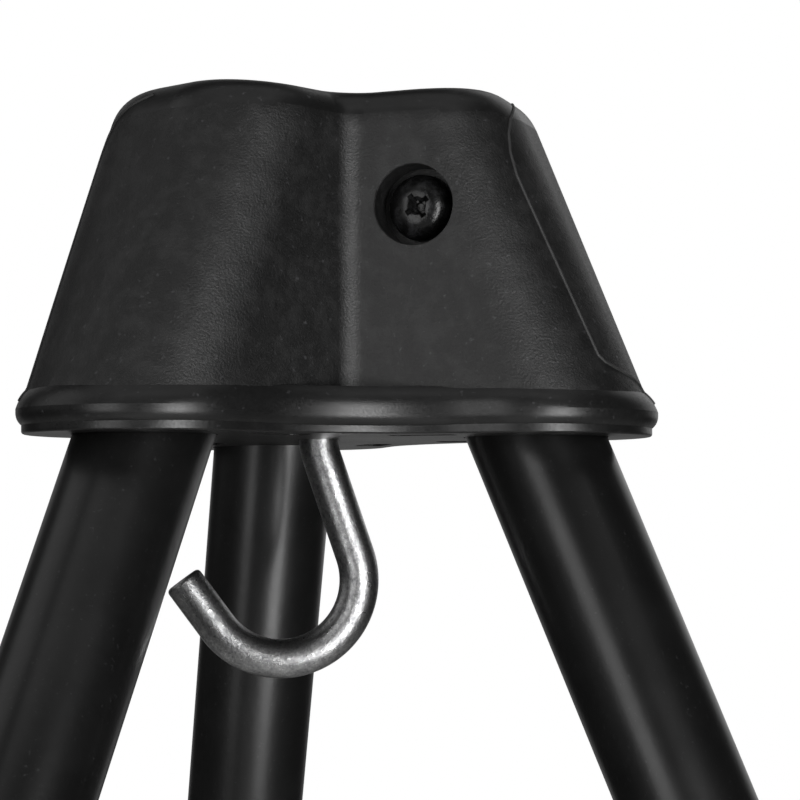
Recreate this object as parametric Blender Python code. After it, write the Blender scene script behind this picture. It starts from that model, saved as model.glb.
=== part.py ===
"""Tripod hanging stand: a three-lobed moulded hub, a swivel hook and three telescoping legs."""

import math

import bpy
from mathutils import Matrix, Vector

MM = 0.001

# Stance
HUB_BASE_HEIGHT = 1430 * MM
LEG_SPLAY = math.radians(22.56)
LEG_RADIUS_AT_BASE = 43.9 * MM
LEG_PLACES = (("rear", 90), ("left", 210), ("right", 330))
FOOT_RADIUS = LEG_RADIUS_AT_BASE + HUB_BASE_HEIGHT * math.tan(LEG_SPLAY)
HUB_AXIS_Y = -FOOT_RADIUS / 4
GAP = 0.3 * MM

# Hub shell
HUB_HEIGHT = 66.8 * MM
HUB_DISH = 1.1 * MM
LOBE_HALF_WIDTH = 23.6 * MM
LOBE_CORNER_AT_BASE = 23.4 * MM
LOBE_CORNER_AT_TOP = 18.4 * MM
LOBE_END_AT_BASE = 68.1 * MM
LOBE_END_AT_TOP = 40.1 * MM
VALLEY_RADIUS = 5.5 * MM
TOP_ROUND = 7.6 * MM
TOP_SQUARENESS = 2.6
BODY_DRAFT = 0.5 * MM
RIM_HEIGHT = 8.5 * MM
RIM_VALLEY_RADIUS = 30.0 * MM
RIM_END = 66.6 * MM
RECESS_RADIUS = 12.3 * MM
RECESS_FLOOR = 52.0 * MM
SHANK_BORE_RADIUS = 4.25 * MM

# Leg sockets and their cross screws
SOCKET_TOP = 51.0 * MM
TUBE_TOP = 49.0 * MM
SCREW_HEIGHT = 43.0 * MM
SCREW_RADIUS = 3.0 * MM
SCREW_HEAD_RADIUS = 6.3 * MM
SCREW_HEAD_HEIGHT = 4.6 * MM
SCREW_RECESS_RADIUS = 7.55 * MM
SCREW_RECESS_FLOOR = 16.4 * MM
NUT_ACROSS_FLATS = 10.0 * MM
NUT_HEIGHT = 4.6 * MM
POCKET_INNER = 14.6 * MM
POCKET_OUTER = 20.2 * MM
POCKET_NEAR = 19.5 * MM
POCKET_FAR = 32.5 * MM
NUT_POCKET_TOP = 50.0 * MM
PLAIN_POCKET_TOP = 32.0 * MM

# Tubes
UPPER_RADIUS = 12.7 * MM
UPPER_BORE = 11.5 * MM
UPPER_END = 800 * MM
LOWER_RADIUS = 11.1 * MM
LOWER_BORE = 9.9 * MM
LOWER_START = 380 * MM
LEG_LENGTH = HUB_BASE_HEIGHT / math.cos(LEG_SPLAY)
LOWER_END = LEG_LENGTH - 20 * MM

# Clamp collars and knobs
COLLAR_RADIUS = 16.5 * MM
COLLAR_HALF = 30 * MM
BOSS_RADIUS = 9.0 * MM
BOSS_OUT = 26 * MM
KNOB_BELOW_END = 16 * MM
STUD_RADIUS = 4.0 * MM
INSERT_RADIUS = 6.0 * MM
KNOB_START = 27 * MM
KNOB_END = 45 * MM
KNOB_RADIUS = 16.0 * MM
KNOB_LOBE = 1.6 * MM

# Feet
SOLE_RADIUS = 26 * MM
SOLE_THICKNESS = 9 * MM
BOOT_RADIUS = 14.8 * MM
BOOT_LENGTH = 52 * MM

# Hook
WIRE_RADIUS = 3.85 * MM
HOOK_TURN = math.radians(-12.48)
BOWL_RADIUS = 15.4 * MM
BOWL_X = -7.5 * MM
BOWL_Z = -27.5 * MM
SHANK_LEAN = math.radians(18.7)
BEND_RADIUS = 12.0 * MM
BOWL_END = math.radians(-143.4)
ARM_LENGTH = 11.6 * MM
SHANK_TOP = 63.0 * MM

BLACK_PLASTIC = ((0.021, 0.021, 0.022), 0.0, 0.42)
BLACK_PAINT = ((0.012, 0.012, 0.013), 0.0, 0.30)
ZINC = ((0.62, 0.62, 0.63), 1.0, 0.28)
BLACK_STEEL = ((0.02, 0.02, 0.021), 0.6, 0.30)
RUBBER = ((0.018, 0.018, 0.018), 0.0, 0.75)
BRASS = ((0.72, 0.52, 0.22), 1.0, 0.35)
NYLON = ((0.70, 0.69, 0.66), 0.0, 0.50)


def material(name, look):
    colour, metallic, roughness = look
    made = bpy.data.materials.new(name)
    made.use_nodes = True
    shader = made.node_tree.nodes["Principled BSDF"]
    shader.inputs["Base Color"].default_value = (*colour, 1.0)
    shader.inputs["Metallic"].default_value = metallic
    shader.inputs["Roughness"].default_value = roughness
    return made


def solid(name, points, faces, matrix, look, round_shaded=True):
    mesh = bpy.data.meshes.new(name)
    mesh.from_pydata([tuple(p) for p in points], [], faces)
    mesh.update()
    if round_shaded:
        mesh.shade_smooth()
        mesh.set_sharp_from_angle(angle=math.radians(35))
    made = bpy.data.objects.new(name, mesh)
    bpy.context.scene.collection.objects.link(made)
    made.matrix_world = matrix
    if look:
        mesh.materials.append(material(name, look))
    else:
        made.hide_render = True
        made.display_type = "WIRE"
    return made


def loft(name, rings, matrix, look, ring_closed=False):
    """Skins a stack of equal rings; the ends are capped, or the last ring joins the first."""
    count = len(rings[0])
    points = [p for ring in rings for p in ring]
    faces = []
    stack = len(rings) if ring_closed else len(rings) - 1
    for k in range(stack):
        low = k * count
        high = (k + 1) % len(rings) * count
        for i in range(count):
            j = (i + 1) % count
            faces.append((low + i, low + j, high + j, high + i))
    if not ring_closed:
        faces.append(tuple(range(count))[::-1])
        faces.append(tuple(range((len(rings) - 1) * count, len(rings) * count)))
    return solid(name, points, faces, matrix, look)


def turned(name, profile, matrix, look, segments=24, hollow=False):
    """A turned piece about local Z. The profile holds (radius, height) pairs, upwards outside."""
    rings = []
    for radius, height in profile:
        ring = []
        for i in range(segments):
            angle = 2 * math.pi * i / segments
            ring.append(Vector((radius * math.cos(angle), radius * math.sin(angle), height)))
        rings.append(ring)
    return loft(name, rings, matrix, look, ring_closed=hollow)


def cut(target, cutter, operation="DIFFERENCE"):
    modifier = target.modifiers.new(cutter.name, "BOOLEAN")
    modifier.operation = operation
    modifier.solver = "EXACT"
    modifier.object = cutter


def hub_frame(azimuth=0.0):
    """Hub axis at the hub's base plane, X turned to a leg's radial direction, Z up."""
    place = Matrix.Translation((0, HUB_AXIS_Y, HUB_BASE_HEIGHT))
    return place @ Matrix.Rotation(azimuth, 4, "Z")


def leg_frame(azimuth):
    """Leg axis at the hub's base plane: Z up along the leg, X away from the stand, Y tangential."""
    out = Matrix.Translation((LEG_RADIUS_AT_BASE, 0, 0))
    return hub_frame(azimuth) @ out @ Matrix.Rotation(-LEG_SPLAY, 4, "Y")


def across(frame, x, y, z, axis):
    """A frame at a point of another one, its Z along X or Y of that frame."""
    turn = Matrix.Rotation(math.radians(90), 4, "Y")
    if axis == "-Y":
        turn = Matrix.Rotation(math.radians(90), 4, "X")
    if axis == "+Y":
        turn = Matrix.Rotation(math.radians(-90), 4, "X")
    return frame @ Matrix.Translation((x, y, z)) @ turn


def at_height(height, base, top):
    return base + (top - base) * height / HUB_HEIGHT


def lobe_reach(angle, end, round_by, grow, valley):
    """Distance from the hub axis to the plan outline, at an angle from a lobe's middle."""
    side = abs(angle)
    half = LOBE_HALF_WIDTH + grow
    corner = round_by + grow
    centre_x = end - round_by
    centre_y = LOBE_HALF_WIDTH - round_by
    reach = half / max(math.sin(side), 1e-9)
    if reach * math.cos(side) > centre_x:
        along = centre_x * math.cos(side) + centre_y * math.sin(side)
        square = centre_x**2 + centre_y**2 - corner**2
        reach = along + math.sqrt(max(along**2 - square, 0))
        if reach * math.sin(side) < centre_y:
            reach = (centre_x + corner) / math.cos(side)
    centre = (LOBE_HALF_WIDTH + valley) / math.sin(math.radians(60))
    radius = valley - grow
    off = math.radians(60) - side
    if abs(centre * math.sin(off)) < radius * math.cos(math.radians(60)) * 1.0001:
        near = centre * math.cos(off) - math.sqrt(radius**2 - (centre * math.sin(off)) ** 2)
        reach = max(reach, near)
    elif radius > abs(centre * math.sin(off)):
        near = centre * math.cos(off) - math.sqrt(radius**2 - (centre * math.sin(off)) ** 2)
        foot = math.atan2(half, (LOBE_HALF_WIDTH + valley) / math.tan(math.radians(60)))
        if side > foot:
            reach = max(reach, near)
    return reach


def hub_angles():
    steps = [-57.5] + [float(a) for a in range(-55, 56, 5)] + [57.5, 60.0]
    found = []
    for _, azimuth in LEG_PLACES:
        for step in steps:
            found.append((math.radians(azimuth + step), math.radians(step)))
    return found


def body_reach(step, height):
    end = min(at_height(height, LOBE_END_AT_BASE, LOBE_END_AT_TOP), RIM_END)
    round_by = at_height(height, LOBE_CORNER_AT_BASE, LOBE_CORNER_AT_TOP)
    grow = at_height(height, BODY_DRAFT, 0)
    return lobe_reach(step, end, round_by, grow, VALLEY_RADIUS)


def hub_rings():
    rings = []
    for height, grow in ((0, -1.4), (1.2, -0.3), (2.6, 0.5), (4.2, 0.8), (5.9, 0.6), (7.4, -0.3), (8.3, -1.9)):
        ring = []
        for turn, step in hub_angles():
            reach = lobe_reach(step, RIM_END, LOBE_CORNER_AT_BASE, grow * MM, RIM_VALLEY_RADIUS)
            inset = min(grow, 0) * MM if height < 2 else 0
            reach = max(reach, body_reach(step, height * MM) + inset)
            ring.append(Vector((reach * math.cos(turn), reach * math.sin(turn), height * MM)))
        rings.append(ring)
    straight = HUB_HEIGHT - TOP_ROUND
    levels = [(RIM_HEIGHT + (straight - RIM_HEIGHT) * k / 4, 0.0) for k in range(5)]
    for degrees in (22.5, 45, 67.5, 90):
        rise = TOP_ROUND * math.sin(math.radians(degrees)) ** (2 / TOP_SQUARENESS)
        level = max(math.cos(math.radians(degrees)), 0) ** (2 / TOP_SQUARENESS)
        levels.append((straight + rise, TOP_ROUND * (level - 1)))
    for height, grow in levels:
        ring = []
        for turn, step in hub_angles():
            end = at_height(height, LOBE_END_AT_BASE, LOBE_END_AT_TOP)
            round_by = at_height(height, LOBE_CORNER_AT_BASE, LOBE_CORNER_AT_TOP)
            draft = at_height(height, BODY_DRAFT, 0)
            reach = lobe_reach(step, end, round_by, grow + draft, VALLEY_RADIUS)
            dish = HUB_DISH * 0.5 * (1 - math.cos(3 * step)) * (height / HUB_HEIGHT) ** 4
            ring.append(Vector((reach * math.cos(turn), reach * math.sin(turn), height - dish)))
        rings.append(ring)
    return rings


def box(name, low, high, matrix):
    near, far = Vector(low), Vector(high)
    rings = []
    for z in (near.z, far.z):
        corners = ((near.x, near.y), (far.x, near.y), (far.x, far.y), (near.x, far.y))
        rings.append([Vector((x, y, z)) for x, y in corners])
    return loft(name, rings, matrix, None)


def rod(name, radius, low, high, matrix, look=None, segments=24):
    return turned(name, [(radius, low), (radius, high)], matrix, look, segments)


def build_hub():
    shell = loft("hub_shell", hub_rings(), hub_frame(), BLACK_PLASTIC)
    cut(shell, rod("cut_recess", RECESS_RADIUS, RECESS_FLOOR, HUB_HEIGHT + 5 * MM, hub_frame()))
    cut(shell, rod("cut_shank", SHANK_BORE_RADIUS, -5 * MM, RECESS_FLOOR + MM, hub_frame(), segments=16))
    for name, degrees in LEG_PLACES:
        azimuth = math.radians(degrees)
        leg = leg_frame(azimuth)
        socket_top = SOCKET_TOP / math.cos(LEG_SPLAY)
        cut(shell, rod(f"cut_socket_{name}", UPPER_RADIUS + GAP, -40 * MM, socket_top, leg, segments=32))
        height = SCREW_HEIGHT / math.cos(LEG_SPLAY)
        inward = across(leg, 0, 0, height, "-Y")
        cut(shell, rod(f"cut_head_{name}", SCREW_RECESS_RADIUS, SCREW_RECESS_FLOOR, 40 * MM, inward))
        through = -(POCKET_INNER + MM)
        cut(shell, rod(f"cut_screw_{name}", SCREW_RADIUS + GAP, through, 20 * MM, inward, segments=12))
        radial = hub_frame(azimuth)
        low = (POCKET_NEAR, POCKET_INNER, -5 * MM)
        cut(shell, box(f"cut_nut_pocket_{name}", low, (POCKET_FAR, POCKET_OUTER, NUT_POCKET_TOP), radial))
        low = (POCKET_NEAR, -POCKET_OUTER, -5 * MM)
        cut(shell, box(f"cut_pocket_{name}", low, (POCKET_FAR, -POCKET_INNER, PLAIN_POCKET_TOP), radial))
    radius = RECESS_RADIUS - GAP
    top = HUB_HEIGHT - 0.2 * MM
    profile = [(radius - MM, top - 2.4 * MM), (radius, top - 1.6 * MM), (radius, top - 0.8 * MM), (radius - MM, top)]
    turned("hub_cap", profile, hub_frame(), BLACK_PLASTIC)


def hook_path():
    """Centreline of the hook in its own plane, from the threaded end to the open tip."""
    centre = Vector((BOWL_X, 0, BOWL_Z))
    begin = centre + BOWL_RADIUS * Vector((math.cos(SHANK_LEAN), 0, math.sin(SHANK_LEAN)))
    knee = begin.z + begin.x / math.tan(SHANK_LEAN)
    reach = BEND_RADIUS * math.tan(SHANK_LEAN / 2)
    path = [Vector((0, 0, SHANK_TOP)), Vector((0, 0, SHANK_TOP - 2 * MM)), Vector((0, 0, knee + reach))]
    for k in range(1, 4):
        angle = SHANK_LEAN * k / 3
        along = BEND_RADIUS * math.sin(angle)
        aside = BEND_RADIUS * (1 - math.cos(angle))
        path.append(Vector((aside, 0, knee + reach - along)))
    steps = 16
    for k in range(steps + 1):
        angle = SHANK_LEAN + (BOWL_END - SHANK_LEAN) * k / steps
        path.append(centre + BOWL_RADIUS * Vector((math.cos(angle), 0, math.sin(angle))))
    onward = Vector((math.sin(BOWL_END), 0, -math.cos(BOWL_END)))
    path.append(path[-1] + onward * (ARM_LENGTH - 1.2 * MM))
    path.append(path[-1] + onward * 1.2 * MM)
    return path


def build_hook():
    path = hook_path()
    rings = []
    for k, point in enumerate(path):
        before = path[max(k - 1, 0)]
        after = path[min(k + 1, len(path) - 1)]
        along = (after - before).normalized()
        side = Vector((0, 1, 0))
        other = side.cross(along)
        radius = WIRE_RADIUS - (0.9 * MM if k in (0, len(path) - 1) else 0)
        ring = []
        for i in range(12):
            angle = 2 * math.pi * i / 12
            ring.append(point + radius * (math.sin(angle) * side + math.cos(angle) * other))
        rings.append(ring)
    frame = hub_frame(HOOK_TURN)
    loft("hook", rings, frame, ZINC)
    low = RECESS_FLOOR + GAP
    washer = [(4.3, 0), (8.5, 0), (8.5, 1.6), (4.3, 1.6)]
    turned("hook_washer", [(r * MM, low + h * MM) for r, h in washer], frame, ZINC, hollow=True)
    low += 1.6 * MM + GAP
    build_nut("hook_nut", 13 * MM, WIRE_RADIUS + GAP, low, low + 7.6 * MM, frame)


def build_nut(name, across_flats, bore, low, high, matrix):
    """A hexagon nut, its faces square to local Z."""
    rings = []
    outer = across_flats / 2 / math.cos(math.radians(30))
    for reach, height in ((bore, low), (outer, low), (outer, high), (bore, high)):
        ring = []
        for i in range(24):
            angle = 2 * math.pi * i / 24
            bend = math.cos(angle % math.radians(60) - math.radians(30))
            radius = reach if reach == bore else across_flats / 2 / bend
            ring.append(Vector((radius * math.cos(angle), radius * math.sin(angle), height)))
        rings.append(ring)
    loft(name, rings, matrix, ZINC, ring_closed=True)


def build_leg_screw(name, leg):
    inward = across(leg, 0, 0, SCREW_HEIGHT / math.cos(LEG_SPLAY), "-Y")
    base = SCREW_RECESS_FLOOR + GAP
    top = base + SCREW_HEAD_HEIGHT
    head = SCREW_HEAD_RADIUS
    profile = [(SCREW_RADIUS - 0.5 * MM, -POCKET_OUTER + 0.8 * MM), (SCREW_RADIUS, -POCKET_OUTER + 1.4 * MM)]
    profile += [(SCREW_RADIUS, base), (head - 0.2 * MM, base), (head, base + 0.4 * MM)]
    profile += [(head, base + 1.9 * MM), (head - 0.6 * MM, base + 3.4 * MM)]
    profile += [(head - 2.1 * MM, base + 4.3 * MM), (head - 3.6 * MM, top)]
    screw = turned(f"leg_screw_{name}", profile, inward, BLACK_STEEL, 16)
    for k in range(2):
        turn = inward @ Matrix.Rotation(math.radians(45 + 90 * k), 4, "Z")
        rings = []
        for long, thick, height in ((0.9, 0.45, top - 2.6 * MM), (3.1, 0.75, top + 0.5 * MM)):
            corners = ((-long, -thick), (long, -thick), (long, thick), (-long, thick))
            rings.append([Vector((x * MM, y * MM, height)) for x, y in corners])
        cut(screw, loft(f"cut_cross_{name}_{k}", rings, turn, None))
    low = -(POCKET_INNER + 0.4 * MM + NUT_HEIGHT)
    build_nut(f"leg_nut_{name}", NUT_ACROSS_FLATS, SCREW_RADIUS + GAP, low, low + NUT_HEIGHT, inward)


def build_tubes(name, leg):
    top = TUBE_TOP / math.cos(LEG_SPLAY)
    profile = [(UPPER_BORE, -UPPER_END), (UPPER_RADIUS, -UPPER_END), (UPPER_RADIUS, top), (UPPER_BORE, top)]
    upper = turned(f"upper_tube_{name}", profile, leg, BLACK_PAINT, 32, hollow=True)
    inward = across(leg, 0, 0, SCREW_HEIGHT / math.cos(LEG_SPLAY), "-Y")
    cut(upper, rod(f"cut_tube_{name}", SCREW_RADIUS + GAP, -20 * MM, 20 * MM, inward, segments=12))
    profile = [(LOWER_BORE, -LOWER_END), (LOWER_RADIUS, -LOWER_END)]
    profile += [(LOWER_RADIUS, -LOWER_START), (LOWER_BORE, -LOWER_START)]
    turned(f"lower_tube_{name}", profile, leg, BLACK_PAINT, 32, hollow=True)
    guide = [(8.2, -12), (9.6, -12), (9.6, GAP / MM), (11.25, GAP / MM), (11.25, 8), (8.2, 8)]
    profile = [(r * MM, -LOWER_START + h * MM) for r, h in guide]
    turned(f"guide_bush_{name}", profile, leg, NYLON, 16, hollow=True)


def build_clamp(name, leg):
    low = -UPPER_END - COLLAR_HALF
    high = -UPPER_END + COLLAR_HALF
    shoulder = -UPPER_END - GAP
    inner = UPPER_RADIUS + GAP
    narrow = LOWER_RADIUS + GAP
    edge = 1.5 * MM
    profile = [(narrow, low), (COLLAR_RADIUS - edge, low), (COLLAR_RADIUS, low + edge)]
    profile += [(COLLAR_RADIUS, high - edge), (COLLAR_RADIUS - edge, high), (inner, high)]
    profile += [(inner, shoulder), (narrow, shoulder)]
    collar = turned(f"clamp_collar_{name}", profile, leg, BLACK_PLASTIC, 24, hollow=True)
    outward = across(leg, 0, 0, -UPPER_END - KNOB_BELOW_END, "+X")
    seat = 14.0 * MM
    boss = turned(f"add_boss_{name}", [(BOSS_RADIUS, seat - MM), (BOSS_RADIUS, BOSS_OUT)], outward, None, 16)
    cut(collar, boss, "UNION")
    cut(collar, rod(f"cut_insert_{name}", INSERT_RADIUS + GAP, seat, BOSS_OUT + MM, outward, segments=16))
    cut(collar, rod(f"cut_stud_{name}", STUD_RADIUS + GAP, 0, seat + MM, outward, segments=16))
    low, high = seat + GAP, BOSS_OUT - GAP
    bore = STUD_RADIUS + GAP
    profile = [(bore, low), (INSERT_RADIUS, low), (INSERT_RADIUS, high), (bore, high)]
    turned(f"thread_insert_{name}", profile, outward, BRASS, 16, hollow=True)
    stud = [(STUD_RADIUS - 0.7 * MM, LOWER_RADIUS + 0.4 * MM), (STUD_RADIUS, LOWER_RADIUS + 1.2 * MM)]
    stud += [(STUD_RADIUS, KNOB_START + 9 * MM)]
    turned(f"knob_stud_{name}", stud, outward, ZINC, 16)
    rings = []
    for height, grow in ((0, -1.5), (1.5, 0), (14, 0), (16.8, -1.4), (18, -4)):
        ring = []
        for i in range(36):
            angle = 2 * math.pi * i / 36
            radius = KNOB_RADIUS + KNOB_LOBE * math.cos(6 * angle) + grow * MM
            point = (radius * math.cos(angle), radius * math.sin(angle), KNOB_START + height * MM)
            ring.append(Vector(point))
        rings.append(ring)
    knob = loft(f"knob_{name}", rings, outward, BLACK_PLASTIC)
    end = KNOB_START + 9 * MM + GAP
    cut(knob, rod(f"cut_knob_{name}", STUD_RADIUS + GAP, KNOB_START - MM, end, outward, segments=16))


def build_foot(name, azimuth, leg):
    ground = Matrix.Translation((FOOT_RADIUS, 0, -HUB_BASE_HEIGHT))
    base = hub_frame(azimuth) @ ground
    edge = 2 * MM
    profile = [(SOLE_RADIUS - 0.5 * MM, 0), (SOLE_RADIUS, 0.8 * MM), (SOLE_RADIUS, SOLE_THICKNESS - edge)]
    profile += [(SOLE_RADIUS - edge, SOLE_THICKNESS), (BOOT_RADIUS + 1.5 * MM, SOLE_THICKNESS + 1.5 * MM)]
    foot = turned(f"foot_{name}", profile, base, RUBBER)
    low = -LEG_LENGTH + (BOOT_RADIUS * math.sin(LEG_SPLAY) + MM) / math.cos(LEG_SPLAY)
    high = low + BOOT_LENGTH
    boot = [(BOOT_RADIUS, low), (BOOT_RADIUS, high - MM), (BOOT_RADIUS - MM, high)]
    cut(foot, turned(f"add_boot_{name}", boot, leg, None), "UNION")
    cut(foot, rod(f"cut_boot_{name}", LOWER_RADIUS + GAP, -LOWER_END - GAP, high + MM, leg))


def main():
    for old in list(bpy.data.objects):
        bpy.data.objects.remove(old, do_unlink=True)
    build_hub()
    build_hook()
    for name, degrees in LEG_PLACES:
        azimuth = math.radians(degrees)
        leg = leg_frame(azimuth)
        build_leg_screw(name, leg)
        build_tubes(name, leg)
        build_clamp(name, leg)
        build_foot(name, azimuth, leg)


main()
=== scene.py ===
"""Tripod hanging stand: the finished look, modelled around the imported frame."""

import math

import bpy
from mathutils import Matrix, Vector


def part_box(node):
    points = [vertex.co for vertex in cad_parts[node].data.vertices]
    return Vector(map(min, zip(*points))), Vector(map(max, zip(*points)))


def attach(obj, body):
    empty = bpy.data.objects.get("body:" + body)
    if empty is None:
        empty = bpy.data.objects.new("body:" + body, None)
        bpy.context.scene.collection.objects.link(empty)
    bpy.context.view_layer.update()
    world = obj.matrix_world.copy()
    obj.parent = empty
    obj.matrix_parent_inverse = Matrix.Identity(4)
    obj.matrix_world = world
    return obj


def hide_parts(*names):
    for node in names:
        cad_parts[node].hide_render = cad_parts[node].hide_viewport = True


bl_info = {
    "name": "Tripod Hanging Stand",
    "version": (1, 0, 0),
    "blender": (4, 5, 0),
    "location": "View3D > Sidebar > Stand",
    "description": "Models the moulded head, hook, tubes, clamps and feet of a tripod stand",
    "category": "Object",
}

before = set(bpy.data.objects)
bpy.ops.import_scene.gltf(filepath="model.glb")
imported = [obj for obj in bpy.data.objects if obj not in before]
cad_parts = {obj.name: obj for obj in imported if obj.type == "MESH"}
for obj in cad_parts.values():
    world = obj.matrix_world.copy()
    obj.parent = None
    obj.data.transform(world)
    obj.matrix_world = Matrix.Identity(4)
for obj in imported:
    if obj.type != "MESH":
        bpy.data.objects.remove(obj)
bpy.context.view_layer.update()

MM = 0.001

# Each leg's name and the direction it leans in, in degrees from X
PLACES = (("rear", 90), ("left", 210), ("right", 330))
LINE_FLARES_ON = "right"

# The head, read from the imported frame
HUB_LOW, HUB_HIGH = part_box("hub_shell")
WASHER_LOW, WASHER_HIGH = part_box("hook_washer")
HUB_BASE = HUB_LOW.z
AXIS_Y = (WASHER_LOW.y + WASHER_HIGH.y) / 2
HUB_HEIGHT = HUB_HIGH.z - HUB_LOW.z

# A leg's lean and length, and where its axis passes the hub's base and the ground
SPLAY = math.radians(22.56)
LEG_OUT = 43.9 * MM
LEG_LENGTH = HUB_BASE / math.cos(SPLAY)
FOOT_OUT = LEG_OUT + HUB_BASE * math.tan(SPLAY)

# Heights above the hub's base, and how far the screw's seat is from the leg's axis
SOCKET_TOP = 51 * MM
TUBE_TOP = 49 * MM
SCREW_HEIGHT = 43 * MM
SCREW_SEAT = 16.4 * MM

# Places along a leg's axis from the hub's base, and the play between parts
COLLAR_MIDDLE = -800 * MM
KNOB_ALONG = -816 * MM
LOWER_TUBE_TOP = -380 * MM
LOWER_TUBE_FOOT = -LEG_LENGTH + 20 * MM
GAP = 0.3 * MM

# Sides of a drum, steps of a bevel, and the half width of a block that trims
ROUND, HALF_ROUND = 96, 48
CORNER_STEPS, VALLEY_STEPS = 28, 14
WIDE = 0.1

# Where the main camera stands, in tube diameters and degrees
TUBE = 25.4 * MM
VIEW_AROUND, VIEW_TILT, VIEW_YAW, VIEW_ROLL = -12.48, 2.8, -1.694, 0.125
VIEW_DISTANCE, VIEW_DROP = 21.264, 0.782
VIEW_LENS, VIEW_SHIFT = 123.38, 0.0084


# Placing and selecting


def turn_about_z(degrees):
    """A turn about the upright axis."""
    return Matrix.Rotation(math.radians(degrees), 4, "Z")


def hub_frame(degrees=0.0):
    """Hub axis at the hub's base, X turned to a leg's radial direction."""
    return Matrix.Translation((0, AXIS_Y, HUB_BASE)) @ turn_about_z(degrees)


def leg_frame(degrees):
    """Leg axis at the hub's base: Z up along the leg, X outward, Y tangential."""
    out = Matrix.Translation((LEG_OUT, 0, 0))
    return hub_frame(degrees) @ out @ Matrix.Rotation(-SPLAY, 4, "Y")


def screw_frame(degrees):
    """Cross screw axis on the leg axis, Z out of the lobe's clockwise side."""
    height = SCREW_HEIGHT / math.cos(SPLAY)
    turn = Matrix.Rotation(math.radians(90), 4, "X")
    return leg_frame(degrees) @ Matrix.Translation((0, 0, height)) @ turn


def knob_frame(degrees):
    """Clamp screw axis, Z pointing away from the leg."""
    return leg_frame(degrees) @ clamp_turn()


def foot_frame(degrees):
    """Where a leg's axis meets the ground, X outward and Z up."""
    return hub_frame(degrees) @ Matrix.Translation((FOOT_OUT, 0, -HUB_BASE))


def clamp_turn():
    """The clamp screw's place in its leg's frame."""
    return Matrix.Translation((0, 0, KNOB_ALONG)) @ Matrix.Rotation(math.radians(90), 4, "Y")


def fresh():
    """Leaves edit mode with nothing selected."""
    if bpy.context.mode != "OBJECT":
        bpy.ops.object.mode_set(mode="OBJECT")
    bpy.ops.object.select_all(action="DESELECT")


def hold(piece):
    """Makes a piece the only selected and the active object."""
    fresh()
    piece.select_set(True)
    bpy.context.view_layer.objects.active = piece
    return piece


def edit(piece, kind="VERT"):
    """Opens a piece in edit mode with none of it selected."""
    hold(piece)
    bpy.ops.object.mode_set(mode="EDIT")
    bpy.ops.mesh.select_mode(type="VERT")
    bpy.ops.mesh.select_all(action="DESELECT")
    bpy.ops.mesh.select_mode(type=kind)


def pick(piece, kind, parts, test):
    """Selects the parts of a mesh that pass a test, leaving the piece in edit mode."""
    edit(piece, kind)
    bpy.ops.object.mode_set(mode="OBJECT")
    for part in getattr(piece.data, parts):
        part.select = bool(test(part))
    bpy.ops.object.mode_set(mode="EDIT")


def pick_verts(piece, test):
    """Selects vertices by their place."""
    pick(piece, "VERT", "vertices", lambda point: test(point.co))


def pick_edges(piece, test):
    """Selects edges by the places of their two ends."""
    mesh = piece.data
    pick(piece, "EDGE", "edges", lambda line: test(*(mesh.vertices[k].co for k in line.vertices)))


def pick_faces(piece, test):
    """Selects faces by their centre and normal."""
    pick(piece, "FACE", "polygons", lambda side: test(side.center, side.normal))


def leave():
    """Closes edit mode and returns the active object."""
    bpy.ops.object.mode_set(mode="OBJECT")
    return bpy.context.view_layer.objects.active


def named(name):
    """Names the active object and its mesh."""
    piece = bpy.context.view_layer.objects.active
    piece.name = name
    piece.data.name = name
    return piece


def block(name, low, high):
    """A box between two corners, its size held in the mesh."""
    fresh()
    bpy.ops.mesh.primitive_cube_add(size=1)
    piece = named(name)
    low, high = Vector(low), Vector(high)
    piece.scale = high - low
    piece.location = (low + high) / 2
    return settle(piece)


def drum(name, radius, low, high, sides=64, tip=None):
    """A round bar or a cone along Z."""
    fresh()
    middle = (0, 0, (low + high) / 2)
    if tip is None:
        bpy.ops.mesh.primitive_cylinder_add(
            vertices=sides, radius=radius, depth=high - low, location=middle
        )
    else:
        bpy.ops.mesh.primitive_cone_add(
            vertices=sides, radius1=radius, radius2=tip, depth=high - low, location=middle
        )
    return settle(named(name))


def settle(piece, matrix=None):
    """Puts a piece's place into its mesh, so that its object stays at the origin."""
    hold(piece)
    if matrix is not None:
        piece.matrix_world = matrix
        bpy.context.view_layer.update()
    bpy.ops.object.transform_apply(location=True, rotation=True, scale=True)
    return piece


def copy_of(piece, name, matrix=None):
    """A copy with its own mesh, put in its place."""
    hold(piece)
    bpy.ops.object.duplicate()
    return settle(named(name), matrix)


def drop(piece):
    bpy.data.objects.remove(piece, do_unlink=True)


def apply(piece, kind, **values):
    """Adds a modifier with these values and applies it."""
    hold(piece)
    made = piece.modifiers.new(kind.title(), kind)
    for key, value in values.items():
        setattr(made, key, value)
    bpy.ops.object.modifier_apply(modifier=made.name)
    return piece


def combine(piece, other, operation="DIFFERENCE"):
    """Cuts a piece with another, or joins the two, and removes the other."""
    apply(piece, "BOOLEAN", operation=operation, solver="EXACT", object=other)
    drop(other)
    return piece


def bevel(offset, segments, profile=0.5):
    """Rounds the edges selected in edit mode."""
    bpy.ops.mesh.bevel(
        offset=offset, segments=segments, profile=profile, affect="EDGES", clamp_overlap=False
    )


def soften(piece, width, segments=3, degrees=30):
    """Rounds every edge sharper than this angle."""
    return apply(
        piece, "BEVEL", width=width, segments=segments, limit_method="ANGLE",
        angle_limit=math.radians(degrees), harden_normals=False,
    )


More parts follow.
